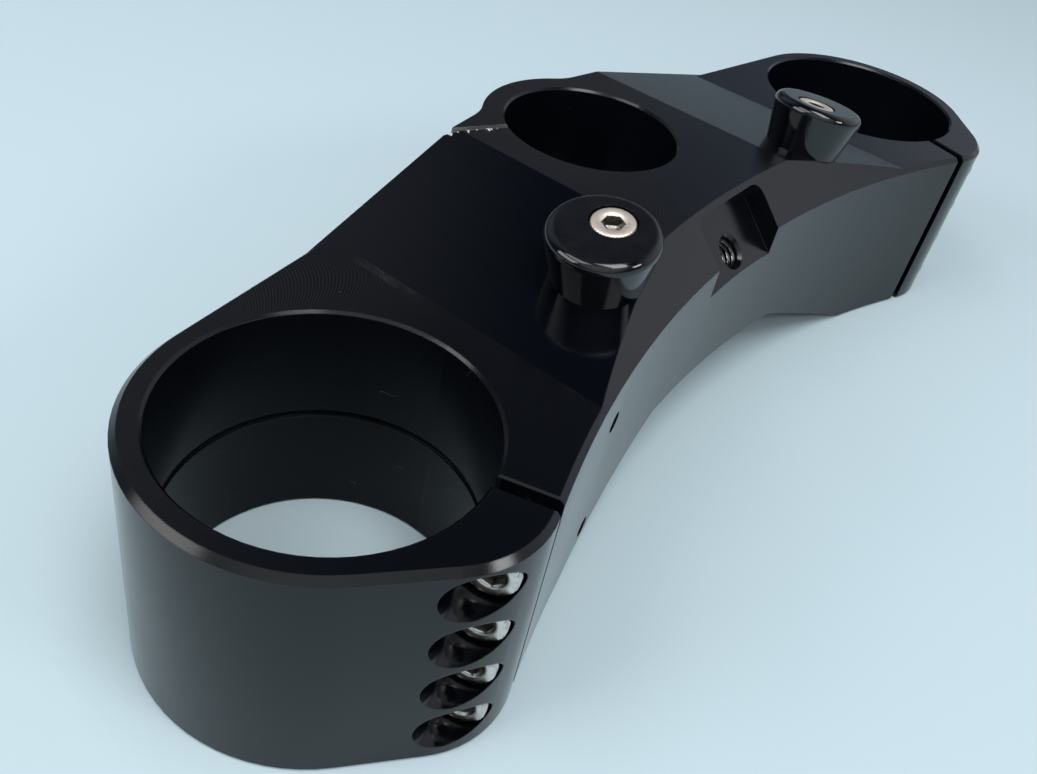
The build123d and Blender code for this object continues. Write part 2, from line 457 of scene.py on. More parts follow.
@dataclass(frozen=True)
class MilledAnodise:
    """Black anodising over the cutter marks of a milled billet, with its sawn stem slit left bare."""

    name: str = "black_anodised_billet"
    dye: Colour = (0.0015, 0.0021, 0.0036)
    # Paler tone for worn edges and cutter arcs, and for painted sheen and highlights.
    worn_and_sheen_dye: Colour = (0.030, 0.031, 0.034)
    bare: Colour = (0.70, 0.70, 0.69)
    ior: float = 1.43
    bore_ior: float = 1.26
    wall_bore_share: float = 0.3
    edge: float = 0.28

    # How level each kind of face is.
    flat_facing: Span = (0.988, 0.998)
    ramp_facing: Span = (0.88, 0.92)
    bevel_facing: Span = (0.64, 0.78)
    bevel_soft: float = 0.04
    wall_facing: Span = (0.1, 0.3)

    # Where the bores, their grooves and the saw cut begin and end.
    fork_skin: Span = (0.7, 0.9)
    stem_skin: Span = (0.4, 0.6)
    groove_skin: Span = (0.15, 0.35)
    sawn_facing: Span = (0.93, 0.97)
    sawn_skin: Span = (0.05, 0.15)
    sawn_reach: Span = (15.0, 15.5)

    # Arcs of the facing cutter on the tops of the lugs and of the crown.
    mark_depth: float = 0.0060
    feed: float = 0.62
    cutter: float = 17.0
    lug_path: float = 36.5
    crown_path: float = 30.0
    lug_marks_from: Span = (70.6, 71.4)
    lug_marks_full: Span = (73.0, 84.0)
    lug_marks_rear: Span = (-16.0, 6.0)
    crown_marks_end: Span = (28.4, 29.2)
    patch_scale: float = 0.22
    patch_span: Span = (0.30, 0.66)
    faintest: float = 0.3
    arc_height: float = 0.8

    # Passes of the other cutters, the grain of the anodising and the marks of the saw.
    ramp_pass: CutterPass = CutterPass(0.42, 0.05)
    bevel_pass: CutterPass = CutterPass(0.50, 0.06)
    bore_pass: CutterPass = CutterPass(0.30, 0.10)
    wall_pass: CutterPass = CutterPass(0.90, 0.04)
    grain_scale: float = 9.0
    grain_height: float = 0.3
    tooth_along: float = 0.06
    tooth_up: float = 1.9
    tooth_height: float = 9.0
    tooth_span: Span = (0.36, 0.68)
    tooth_bare: float = 0.70
    sawn_bare: float = 0.12

    # Paler dye: edge wear with a painted edge highlight, painted sheen on the tops and the lugs' rears, and a
    # painted highlight streak along the right shoulder's foot.
    edge_turn: Span = (0.80, 0.97)
    edge_wear_and_highlight: float = 0.30
    arc_wear: float = 0.20
    top_sheen: float = 0.02
    rear_sheen: float = 0.12
    rear_span: Span = (0.0, 20.0)
    rear_end: Span = (94.0, 116.0)
    foot_sheen_share: float = 0.6
    foot_sheen_across: Span = (-72.4, -71.2)
    foot_sheen_along: Span = (-6.5, -3.0)
    foot_sheen_soft: Span = (1.3, 8.0)
    streak_stretch: Point = (0.9, 0.28, 1.0)
    streak_span: Span = (0.32, 0.72)

    # Hair scratches in the fork bores and specks of dust.
    hair_scale: float = 0.09
    hair_squeeze: float = 0.8
    hair_width: Span = (0.0005, 0.0016)
    hair_patch_scale: float = 0.12
    hair_patch: Span = (0.68, 0.72)
    hair_tone: float = 0.10
    dust_scale: float = 0.22
    dust_size: Span = (0.018, 0.034)
    dust_chosen: Span = (0.90, 0.92)
    dust_facing: Span = (-0.2, 0.2)
    dust_tone: float = 0.16

    # Roughness, and what each zone adds to it.
    roughness: float = 0.11
    flat_rough: float = 0.09
    bevel_rough: float = 0.08
    wall_rough: float = 0.03
    bore_rough: float = 0.16
    groove_rough: float = 0.4
    sawn_rough: float = 0.25
    arc_rough: float = 0.035
    smear_rough: float = 0.12
    smear_stretch: Point = (0.03, 0.05, 0.04)

    def zones(self, at: BilletPoint) -> BilletZones:
        """Tell the billet's faces apart by the way they face and by where they lie.

        Args:
            at: The shaded point.

        Returns:
            The zones at that point.
        """
        flat = at.level.rise(*self.flat_facing)
        wall = at.level.fall(*self.wall_facing)
        past_fork = at.fork_r - PLAN.fork_radius
        in_fork = past_fork.fall(*self.fork_skin)
        in_stem = (at.stem_r - PLAN.stem_radius).fall(*self.stem_skin)
        cut_face = abs(at.face_x * STEM_CUT.across.x + at.face_y * STEM_CUT.across.y).rise(*self.sawn_facing)
        near_cut = (STEM_CUT.off(at.x, at.y) - STEM_CUT.width / 2).fall(*self.sawn_skin)
        return BilletZones(
            flat=flat,
            ramp=at.level.rise(*self.ramp_facing) * (1 - flat),
            bevel=at.level.band(*self.bevel_facing, self.bevel_soft),
            wall=wall,
            in_fork=in_fork,
            in_bore=wall * in_fork.at_least(in_stem),
            groove=wall * in_fork * past_fork.rise(*self.groove_skin),
            sawn=cut_face * near_cut * STEM_CUT.reach(at.x, at.y).rise(*self.sawn_reach),
        )

    def arcs(self, along: Signal, radius: Signal, path: float) -> Signal:
        """The arcs that a facing cutter leaves on its way round a bore.

        Args:
            along: Angle round the bore.
            radius: Distance from the bore's axis.
            path: Radius of the cutter's path.

        Returns:
            A wave from -1 to 1.
        """
        off = radius - path
        lead = (self.cutter**2 - off * off).at_least(0.0).root()
        return ((along * path - lead) / self.feed).wave()

    def facing_marks(self, at: BilletPoint, zones: BilletZones) -> Signal:
        """The facing cutter's arcs on the tops of the lugs and of the crown, fainter in patches.

        Args:
            at: The shaded point.
            zones: The zones at that point.

        Returns:
            A wave from -1 to 1 on the tops and 0 elsewhere.
        """
        lug = self.arcs(at.fork_turn, at.fork_r, self.lug_path)
        lug = lug * at.out.rise(*self.lug_marks_from) * at.fork_y.rise(*self.lug_marks_rear)
        lug = lug * at.out.rise(*self.lug_marks_full).above(self.faintest)
        crown = self.arcs(at.y.angle_to(at.x), at.stem_r, self.crown_path)
        crown = crown * at.out.fall(*self.crown_marks_end)
        patches = at.graph.noise(at.place, self.patch_scale).rise(*self.patch_span)
        return (lug + crown) * zones.flat * patches.above(self.faintest)

    def saw_marks(self, at: BilletPoint) -> Signal:
        """The marks that the saw's teeth leave along their cut, from 0 to 1."""
        drawn = at.graph.join(STEM_CUT.reach(at.x, at.y) * self.tooth_along, at.z * self.tooth_up, 0.0)
        return at.graph.noise(drawn, 1.0, detail=4.0, rough=0.7)

    def relief(self, at: BilletPoint, zones: BilletZones, arcs: Signal, teeth: Signal) -> Signal:
        """The height of every mark on the billet.

        Args:
            at: The shaded point.
            zones: The zones at that point.
            arcs: The facing cutter's arcs.
            teeth: The saw's marks.

        Returns:
            The height as a share of the mark depth.
        """
        arc_y = at.y - PLAN.front_centre
        height = arcs * self.arc_height + self.ramp_pass.ripple(at.out) * zones.ramp
        height = height + self.bevel_pass.ripple((at.x * at.x + arc_y * arc_y).root()) * zones.bevel
        height = height + self.bore_pass.ripple(at.z) * zones.in_bore
        height = height + self.wall_pass.ripple(at.out + at.y) * zones.wall * (1 - zones.in_bore)
        grain = at.graph.noise(at.place, self.grain_scale, detail=2.0) - 0.5
        return height + grain * self.grain_height + teeth * zones.sawn * self.tooth_height

    def wear_and_sheen(self, at: BilletPoint, zones: BilletZones, arcs: Signal, soft_edge: Signal) -> Signal:
        """How far the dye goes pale: edge wear with a painted edge highlight, the cutter arcs, painted sheen
        on the tops and a painted highlight streak at the right shoulder's foot.

        Args:
            at: The shaded point.
            zones: The zones at that point.
            arcs: The facing cutter's arcs.
            soft_edge: The normal, turned smoothly over the edges.

        Returns:
            1 at most, and 0 or less where the dye is whole.
        """
        # Edges paler: partly edge wear, partly a painted edge highlight.
        worn_and_lit_edge = at.graph.aligned(soft_edge, at.facing).fall(*self.edge_turn)
        # A painted highlight streak along the foot of the right shoulder, where it meets its lug's top.
        soft_across, soft_along = self.foot_sheen_soft
        drawn = at.graph.stretched(at.place, self.streak_stretch)
        foot_sheen = at.graph.noise(drawn, 1.0, detail=4.0, rough=0.65).rise(*self.streak_span)
        foot_sheen = foot_sheen * at.x.band(*self.foot_sheen_across, soft_across) * at.y.band(*self.foot_sheen_along, soft_along)
        # Painted sheen: every flat top a little paler, and the rear of each lug's top paler still.
        rear = at.fork_y.rise(*self.rear_span) * at.out.fall(*self.rear_end)
        tops = zones.flat * (rear * self.rear_sheen + self.top_sheen + foot_sheen * self.foot_sheen_share)
        return (tops + arcs * self.arc_wear + worn_and_lit_edge * self.edge_wear_and_highlight).at_most(1.0)

    def scratches(self, at: BilletPoint, zones: BilletZones) -> Signal:
        """A few hair scratches round the fork bores.

        Args:
            at: The shaded point.
            zones: The zones at that point.

        Returns:
            1 on a scratch and 0 beside it.
        """
        unrolled = at.graph.join(at.fork_turn * PLAN.fork_radius, at.z * self.hair_squeeze, 0.0)
        line = abs(at.graph.noise(unrolled, self.hair_scale, detail=1.0) - 0.5).fall(*self.hair_width)
        patch = at.graph.noise(unrolled, self.hair_patch_scale, detail=0.0).rise(*self.hair_patch)
        return line * patch * zones.in_bore * zones.in_fork

    def dust(self, at: BilletPoint) -> Signal:
        """Specks that have settled on the faces that don't look down.

        Args:
            at: The shaded point.

        Returns:
            1 on a speck and 0 beside it.
        """
        cell = at.graph.add("ShaderNodeTexVoronoi", None, {"Vector": at.place, "Scale": self.dust_scale})
        chosen = at.graph.split(cell.beside("Color"))[0].rise(*self.dust_chosen)
        return cell.fall(*self.dust_size) * chosen * at.face_z.rise(*self.dust_facing)

    def rough(self, at: BilletPoint, zones: BilletZones, arcs: Signal) -> Signal:
        """The roughness of each zone, with the smears of handling.

        Args:
            at: The shaded point.
            zones: The zones at that point.
            arcs: The facing cutter's arcs.

        Returns:
            The roughness.
        """
        drawn = at.graph.stretched(at.place, self.smear_stretch)
        smear = at.graph.noise(drawn, 1.0, detail=4.0, rough=0.6) - 0.5
        faces = zones.flat * self.flat_rough + zones.bevel * self.bevel_rough + zones.wall * self.wall_rough
        bores = zones.in_bore * self.bore_rough + zones.groove * self.groove_rough
        marks = arcs * self.arc_rough + zones.sawn * self.sawn_rough + smear * self.smear_rough
        return self.roughness + faces + bores + marks

    def material(self) -> bpy.types.Material:
        """Make the finish.

        Returns:
            The Blender material.
        """
        graph, made = Graph.material(self.name)
        at = BilletPoint(graph)
        zones = self.zones(at)
        arcs = self.facing_marks(at, zones)
        teeth = self.saw_marks(at)
        soft_edge = graph.soft_edge(self.edge)
        # The dye goes pale with edge wear and cutter arcs, and with painted sheen and highlights on the tops.
        colour = graph.mix(self.wear_and_sheen(at, zones, arcs, soft_edge), self.dye, self.worn_and_sheen_dye)
        bared = zones.sawn * (teeth.rise(*self.tooth_span) * self.tooth_bare + self.sawn_bare)
        specks = (self.scratches(at, zones) * self.hair_tone).at_least(self.dust(at) * self.dust_tone)
        sockets = {
            "Base Color": graph.mix(specks.at_least(bared), colour, self.bare),
            "Metallic": bared,
            "Roughness": self.rough(at, zones, arcs),
            "Normal": graph.bump(self.relief(at, zones, arcs, teeth), self.mark_depth, soft_edge),
        }
        outside = graph.shader(sockets | {"IOR": self.ior})
        inside = graph.shader(sockets | {"IOR": self.bore_ior})
        graph.blend(zones.in_bore.at_least(zones.wall * self.wall_bore_share), outside, inside)
        return made


@dataclass(frozen=True)
class TurnedAnodise:
    """Gloss black anodising on a part turned about its own axis."""

    name: str
    centre: Point
    axis: Point
    dye: Colour = (0.0016, 0.0022, 0.0038)
    # Paler tone of the top face's smears: rubbing marks, and painted sheen that lifts the top.
    rubbed_and_sheen_dye: Colour = (0.0125, 0.0132, 0.0155)
    ior: float = 1.55
    edge: float = 0.15
    mark_depth: float = 0.0014
    top_facing: Span = (0.9, 0.97)
    top_pass: CutterPass = CutterPass(0.16, 0.60)
    side_pass: CutterPass = CutterPass(0.22, 0.24)
    grain_scale: float = 7.0
    grain_height: float = 0.4
    smear_scale: float = 0.16
    roughness: float = 0.08
    top_rough: float = 0.10
    smear_rough: float = 0.08

    def material(self) -> bpy.types.Material:
        """Make the finish.

        Returns:
            The Blender material.
        """
        graph, made = Graph.material(self.name)
        place = graph.place()
        radius, up = graph.about(place, self.centre, self.axis)
        top = graph.aligned(graph.facing(), self.axis).rise(*self.top_facing)
        rings = self.top_pass.ripple(radius) * top + self.side_pass.ripple(up) * (1 - top)
        grain = graph.noise(place, self.grain_scale, detail=2.0) - 0.5
        smear = graph.noise(place, self.smear_scale, detail=4.0, rough=0.6)
        height = rings + grain * self.grain_height
        # Only the top face takes the paler tone, in smears: rubbing marks with painted sheen.
        graph.surface(
            {
                "Base Color": graph.mix(smear * top, self.dye, self.rubbed_and_sheen_dye),
                "Roughness": self.roughness + top * self.top_rough + (smear - 0.5) * self.smear_rough,
                "IOR": self.ior,
                "Normal": graph.bump(height, self.mark_depth, graph.soft_edge(self.edge)),
            }
        )
        return made


@dataclass(frozen=True)
class Stainless:
    """Stainless steel of the screws, a little warm, with forging and handling marks."""

    name: str = "bright_stainless"
    # This default steel is painted bright: a lit copy for the stop screws' heads.
    steel: Colour = (0.95, 0.86, 0.76)
    dull: Colour = (0.52, 0.48, 0.43)
    roughness: float = 0.55
    blotch_scale: float = 0.8
    blotch_span: Span = (0.45, 0.75)
    blotch_share: float = 0.5
    blotch_rough: float = 0.2
    grain_scale: float = 16.0
    grain_depth: float = 0.0015

    def material(self) -> bpy.types.Material:
        """Make the finish.

        Returns:
            The Blender material.
        """
        graph, made = Graph.material(self.name)
        place = graph.place()
        blotch = graph.noise(place, self.blotch_scale, detail=4.0, rough=0.6)
        grain = graph.noise(place, self.grain_scale, detail=2.0, rough=0.6)
        dulled = blotch.rise(*self.blotch_span) * self.blotch_share
        graph.surface(
            {
                "Base Color": graph.mix(dulled, self.steel, self.dull),
                "Metallic": 1.0,
                "Roughness": self.roughness + (blotch - 0.5) * self.blotch_rough,
                "Normal": graph.bump(grain, self.grain_depth),
            }
        )
        return made


@dataclass(frozen=True)
class CutThread:
    """Tapped thread: dark flanks, with thin crests left bright by the tap."""

    name: str
    mouth: Point
    axis: Point
    crest_radius: float
    flank: Colour = (0.004, 0.005, 0.007)
    crest: Colour = (0.42, 0.42, 0.43)
    crest_skin: Span = (0.02, 0.06)
    ior: float = 1.45
    blotch_scale: float = 1.1
    blotch_span: Span = (0.36, 0.56)
    roughness: float = 0.20
    blotch_rough: float = 0.14
    grain_scale: float = 10.0
    grain_depth: float = 0.002

    def material(self) -> bpy.types.Material:
        """Make the finish.

        Returns:
            The Blender material.
        """
        graph, made = Graph.material(self.name)
        place = graph.place()
        radius, _ = graph.about(place, self.mouth, self.axis)
        bright = (radius - self.crest_radius).fall(*self.crest_skin)
        blotch = graph.noise(place, self.blotch_scale, rough=0.6)
        graph.surface(
            {
                "Base Color": graph.mix(bright * blotch.rise(*self.blotch_span), self.flank, self.crest),
                "Metallic": bright,
                "Roughness": self.roughness + blotch * self.blotch_rough,
                "IOR": self.ior,
                "Normal": graph.bump(graph.noise(place, self.grain_scale), self.grain_depth),
            }
        )
        return made


@dataclass(frozen=True)
class BareAluminium:
    """Raw aluminium of saw burrs."""

    name: str = "bare_aluminium"
    metal: Colour = (0.88, 0.88, 0.87)
    dull: Colour = (0.66, 0.66, 0.66)
    metallic: float = 0.35
    roughness: float = 0.34
    blotch_scale: float = 3.0
    blotch_rough: float = 0.2
    grain_scale: float = 11.0
    grain_depth: float = 0.006

    def material(self) -> bpy.types.Material:
        """Make the finish.

        Returns:
            The Blender material.
        """
        graph, made = Graph.material(self.name)
        place = graph.place()
        blotch = graph.noise(place, self.blotch_scale)
        graph.surface(
            {
                "Base Color": graph.mix(blotch, self.metal, self.dull),
                "Metallic": self.metallic,
                "Roughness": self.roughness + blotch * self.blotch_rough,
                "Normal": graph.bump(graph.noise(place, self.grain_scale), self.grain_depth),
            }
        )
        return made


@dataclass(frozen=True)
class PaleFloor:
    """Plain matt floor under the part."""

    name: str = "pale_floor"
    tone: Colour = (0.58, 0.73, 0.79)
    cloud_share: float = 0.97
    cloud_scale: float = 0.004
    roughness: float = 0.85

    def material(self) -> bpy.types.Material:
        """Make the finish.

        Returns:
            The Blender material.
        """
        graph, made = Graph.material(self.name)
        cloud = graph.noise(graph.place(), self.cloud_scale, detail=2.0)
        darker = tuple(part * self.cloud_share for part in self.tone)
        graph.surface({"Base Color": graph.mix(cloud, self.tone, darker), "Roughness": self.roughness})
        return made


class MeshBook:
    """Points, faces and finish numbers of a piece while it is being made, in millimetres."""

    def __init__(self) -> None:
        """Start empty."""
        self.points: Ring = []
        self.faces: list[tuple[int, ...]] = []
        self.shades: list[int] = []

    def face(self, corners: tuple[int, ...], shade: int) -> None:
        """Keep one face and the number of its finish."""
        self.faces.append(corners)
        self.shades.append(shade)

    def loft(self, rings: list[Ring], shade: int = 0) -> None:
        """Lay quads between closed rings.

        Args:
            rings: Rings of equal length, one after the other.
            shade: Number of their finish.
        """
        start = len(self.points)
        count = len(rings[0])
        for ring in rings:
            self.points.extend(ring)
        for level in range(len(rings) - 1):
            low = start + level * count
            for step in range(count):
                after = (step + 1) % count
                self.face((low + step, low + after, low + count + after, low + count + step), shade)

    def lid(self, ring: Ring, centre: Vector, shade: int = 0) -> None:
        """Close a ring with a fan of triangles.

        Args:
            ring: The ring, in the order that its outer side asks for.
            centre: Where the triangles meet.
            shade: Number of their finish.
        """
        start = len(self.points)
        self.points.extend([*ring, centre])
        count = len(ring)
        for step in range(count):
            self.face((start + step, start + (step + 1) % count, start + count), shade)

    def bar(self, rings: list[Ring], shade: int = 0) -> None:
        """Lay quads between rings and close both ends.

        Args:
            rings: Rings of equal length, from one end to the other.
            shade: Number of their finish.
        """
        self.loft(rings, shade)
        self.lid(rings[0][::-1], middle_of(rings[0]), shade)
        self.lid(rings[-1], middle_of(rings[-1]), shade)

    def copy_in(self, other: "MeshBook", matrix: Matrix) -> None:
        """Take in another book.

        Args:
            other: The book to copy.
            matrix: The frame that the copy is carried into.
        """
        start = len(self.points)
        self.points.extend(matrix @ point for point in other.points)
        for corners, shade in zip(other.faces, other.shades):
            self.face(tuple(start + corner for corner in corners), shade)


def mesh_object(name: str, book: MeshBook, smooth: float) -> bpy.types.Object:
    """A mesh object from a book of points in millimetres.

    Args:
        name: The piece's name.
        book: Its points, faces and the finish of each face.
        smooth: Edges that turn by less than this many degrees are shaded smooth.

    Returns:
        The linked object.
    """
    mesh = bpy.data.meshes.new(name)
    mesh.from_pydata([point * MM for point in book.points], [], book.faces)
    mesh.polygons.foreach_set("material_index", book.shades)
    made = bmesh.new()
    made.from_mesh(mesh)
    bmesh.ops.remove_doubles(made, verts=made.verts, dist=WELD)
    for face in made.faces:
        face.smooth = True
    for edge in made.edges:
        edge.smooth = len(edge.link_faces) == 2 and edge.calc_face_angle(0.0) < math.radians(smooth)
    made.to_mesh(mesh)
    made.free()
    item = bpy.data.objects.new(name, mesh)
    bpy.context.scene.collection.objects.link(item)
    return item


def settle(item: bpy.types.Object, body: Body, slot: Slot, *finishes: bpy.types.Material) -> None:
    """Dress a piece that was made here, say what it rides on and report it.

    Args:
        item: The piece.
        body: The body that it rides on.
        slot: Not used.
        finishes: Its materials, in the order of its finish numbers.
    """
    for finish in finishes:
        item.data.materials.append(finish)
    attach(item, body.value)
    log.info("%s on %s: %d faces", item.name, body.value, len(item.data.polygons))


def dress(node: str, body: Body, finish: bpy.types.Material) -> None:
    """Give a carried-over CAD node its finish and report it.

    Args:
        node: The node's name.
        body: The body that the node belongs to.
        finish: Its material.
    """
    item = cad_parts[node]
    item.data.materials.clear()
    item.data.materials.append(finish)
    log.info("%s on %s keeps its solid's shape", node, body.value)


def seat_frame(origin: Vector, along: Vector, out: Vector) -> Matrix:
    """A frame in millimetres.

    Args:
        origin: Its origin.
        along: Its x direction.
        out: Its z direction.

    Returns:
        The frame as a matrix.
    """
    side = out.cross(along)
    made = Matrix((along, side, out)).transposed().to_4x4()
    made.translation = origin
    return made


@dataclass(frozen=True)
class Helix:
    """The ridge of a thread, which winds down its axis and fades at both ends, in millimetres.

    The foot and the tip are half widths, as shares of the pitch. The lead is how fast the ridge fades in,
    and least is the share of its height that it keeps at its ends.
    """

    root: float
    crest: float
    pitch: float
    first: float
    length: float
    foot: float
    tip: float
    per_turn: int
    lead: float = 1.0
    least: float = 0.04

    def cut(self, book: MeshBook, seat: Matrix, shade: int = 0) -> None:
        """Add the ridge to a book as one closed bar.

        Args:
            book: The book that takes it in.
            seat: The frame that its axis stands in.
            shade: Number of its finish.
        """
        total = int(self.length / self.pitch * self.per_turn)
        rows: list[Ring] = []
        for step in range(total + 1):
            turn = TURN * step / self.per_turn
            level = self.first - self.pitch * step / self.per_turn
            fade = min(1.0, step / self.per_turn * self.lead, (total - step) / self.per_turn)
            crest = self.root + (self.crest - self.root) * max(self.least, fade)
            profile = ((self.root, self.foot), (crest, self.tip), (crest, -self.tip), (self.root, -self.foot))
            row = []
            for radius, lift in profile:
                point = Vector((radius * math.cos(turn), radius * math.sin(turn), level + lift * self.pitch))
                row.append(seat @ point)
            rows.append(row if self.crest > self.root else row[::-1])
        book.bar(rows, shade)


@dataclass
class CapScrew:
    """A socket head cap screw with a knurled head and a cut thread, seat at z = 0 and head up."""

    length: float
    head: float = 8.7
    head_height: float = 5.0
    shank: float = 4.9
    steps: int = 144

    # Rings of the head: how far in from its rim, how far from its seat or its top, and share of the knurl.
    head_foot: tuple[RingRow, ...] = (
        (0.18, 0.0, 0.0),
        (0.0, 0.16, 0.0),
        (0.0, 0.34, 0.0),
        (0.0, 0.52, 1.0),
    )
    head_crown: tuple[RingRow, ...] = (
        (0.0, 0.44, 1.0),
        (0.06, 0.26, 1.0),
        (0.24, 0.07, 0.5),
        (0.46, 0.0, 0.0),
    )
    knurls: int = 36
    knurl_depth: float = 0.13
    knurl_sharpness: float = 1.5

    # The socket, with the rings of its mouth: how far out from its corners and how far under the top.
    socket: float = 4.0
    socket_depth: float = 2.6
    socket_mouth: tuple[Span, ...] = ((0.32, 0.0), (0.20, 0.05), (0.02, 0.22))
    mouth_depth: float = 0.30
    foot_bevel: float = 0.1
    foot_share: float = 0.93
    drill_point: float = 0.35

    # The thread, with the rings of the screw's tip: how far in from the core and how far from the end.
    pitch: float = 0.8
    thread_depth: float = 0.42
    thread_start: float = 0.9
    thread_runout: float = 1.4
    tip_rings: tuple[Span, ...] = ((0.0, 0.4), (0.25, 0.1), (0.4, 0.0))

    @property
    def core(self) -> float:
        """Radius of the shank under its thread."""
        return self.shank / 2 - self.thread_depth

    def ring(self, radius: float, level: float, knurl: float = 0.0) -> Ring:
        """A round ring of points.

        Args:
            radius: Its radius.
            level: Its height over the seat.
            knurl: Depth of the knurl that is cut into it.

        Returns:
            The points.
        """
        made = []
        for step in range(self.steps):
            turn = TURN * step / self.steps
            cut = knurl * (0.5 + 0.5 * math.cos(turn * self.knurls)) ** self.knurl_sharpness
            made.append(Vector(((radius - cut) * math.cos(turn), (radius - cut) * math.sin(turn), level)))
        return made

    def hexagon(self, level: float, scale: float = 1.0) -> Ring:
        """A ring of points round the socket's flats.

        Args:
            level: Its height over the seat.
            scale: Its size as a share of the socket.

        Returns:
            The points.
        """
        made = []
        for step in range(self.steps):
            turn = TURN * step / self.steps
            off = (turn + math.pi / 6) % (math.pi / 3) - math.pi / 6
            radius = scale * self.socket / 2 / math.cos(off)
            made.append(Vector((radius * math.cos(turn), radius * math.sin(turn), level)))
        return made

    def head_rings(self) -> list[Ring]:
        """Shape the head.

        Returns:
            Its rings from under its seat, over its crown to the mouth of its socket.
        """
        rim = self.head / 2
        top = self.head_height
        corner = self.socket / math.sqrt(3)
        knurl = self.knurl_depth
        foot = [self.ring(rim - inset, up, knurl * share) for inset, up, share in self.head_foot]
        crown = [self.ring(rim - inset, top - low, knurl * share) for inset, low, share in self.head_crown]
        mouth = [self.ring(corner + wide, top - down) for wide, down in self.socket_mouth]
        return [self.ring(self.core, 0.0), *foot, *crown, *mouth, self.hexagon(top - self.mouth_depth)]

    def socket_rings(self) -> list[Ring]:
        """Shape the socket.

        Returns:
            The rings of its flats from its mouth to its foot.
        """
        foot = self.head_height - self.socket_depth
        mouth = self.head_height - self.mouth_depth
        bevel = self.hexagon(foot + self.foot_bevel)
        return [self.hexagon(mouth), bevel, self.hexagon(foot, self.foot_share)]

    def book(self) -> MeshBook:
        """Make the whole screw in its own frame.

        Returns:
            Its book, with the head as finish 0 and the rest as finish 1.
        """
        made = MeshBook()
        made.loft(self.head_rings())
        rings = self.socket_rings()
        # Socket, shank and thread take finish 1, darker: painted shade in the socket and slits, with some
        # oil.
        made.loft(rings, shade=1)
        made.lid(rings[-1], Vector((0, 0, self.head_height - self.socket_depth - self.drill_point)), shade=1)
        tip = [self.ring(self.core - inset, up - self.length)[::-1] for inset, up in self.tip_rings]
        made.loft([self.ring(self.core, 0.0)[::-1], *tip], shade=1)
        made.lid(tip[-1], Vector((0, 0, -self.length)), shade=1)
        ridge = Helix(
            root=self.core,
            crest=self.shank / 2,
            pitch=self.pitch,
            first=-self.thread_start,
            length=self.length - self.thread_runout,
            foot=0.44,
            tip=0.07,
            per_turn=24,
        )
        ridge.cut(made, Matrix.Identity(4), shade=1)
        return made


@dataclass
class ScrewSet:
    """The screws of one node, each on its own seat."""

    name: str
    node: str
    screw: CapScrew
    seats: list[Matrix]
    turns: tuple[float, ...]
    smooth: float = 32.0

    def build(self, *finishes: bpy.types.Material) -> None:
        """Make the screws, each turned as it was tightened, and let them stand for their node.

        Args:
            finishes: Materials of the heads and of the sockets and shanks.
        """
        one = self.screw.book()
        whole = MeshBook()
        for seat, turn in zip(self.seats, self.turns):
            whole.copy_in(one, seat @ Matrix.Rotation(math.radians(turn), 4, "Z"))
        item = mesh_object(self.name, whole, self.smooth)
        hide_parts(self.node)
        settle(item, Body.CLAMP, Slot.SCREW, *finishes)


@dataclass
class TappedThread:
    """The thread of a tapped hole, cut inside its drilled wall."""

    name: str
    mouth: Point
    axis: Point
    tap: Tap
    start: float
    depth: float
    inset: float = 0.01
    smooth: float = 30.0

    def build(self) -> None:
        """Make the thread's ridge, which fades in at the mouth and out at the bottom."""
        radius, ridge, pitch = self.tap.value
        finish = CutThread(f"{self.name}_cut", self.mouth, self.axis, radius - ridge).material()
        out = Vector(self.axis).normalized()
        seat = seat_frame(Vector(self.mouth), out.orthogonal().normalized(), out)
        wall = radius - self.inset
        thread = Helix(
            root=wall,
            crest=wall - ridge,
            pitch=pitch,
            first=-self.start,
            length=self.depth - self.start,
            foot=0.34,
            tip=0.03,
            per_turn=56,
            lead=1.6,
        )
        book = MeshBook()
        thread.cut(book, seat)
        settle(mesh_object(self.name, book, self.smooth), Body.CLAMP, Slot.BILLET, finish)


@dataclass
class SteeringStop:
    """One turned bumper on its shoulder, held off centre by its screw."""

    side: Side
    across: float = 42.8
    forward: float = 33.7
    throw: float = 2.8

    def seat(self, lift: float) -> Matrix:
        """A frame on the screw's axis, square to the shoulder.

        Args:
            lift: Its height over the shoulder.

        Returns:
            The frame, with its x direction up along the shoulder.
        """
        sign = self.side.value
        tilt = math.atan(PLAN.shoulder)
        out = Vector((sign * math.sin(tilt), 0.0, math.cos(tilt)))
        along = Vector((-sign * math.cos(tilt), 0.0, math.sin(tilt)))
        origin = Vector((sign * self.across, -self.forward, PLAN.top(self.across))) + out * lift
        return seat_frame(origin, along, out)

    def build(self) -> None:
        """Dress the turned bumper about its own axis."""
        seat = self.seat(0.0)
        centre = seat @ Vector((-self.throw, 0.0, 0.0))
        axis = seat.to_3x3() @ Vector((0, 0, 1))
        word = self.side.word
        finish = TurnedAnodise(f"{word}_turned_anodise", tuple(centre), tuple(axis))
        dress(f"{word}_steering_stop", Body(f"{word}_stop"), finish.material())


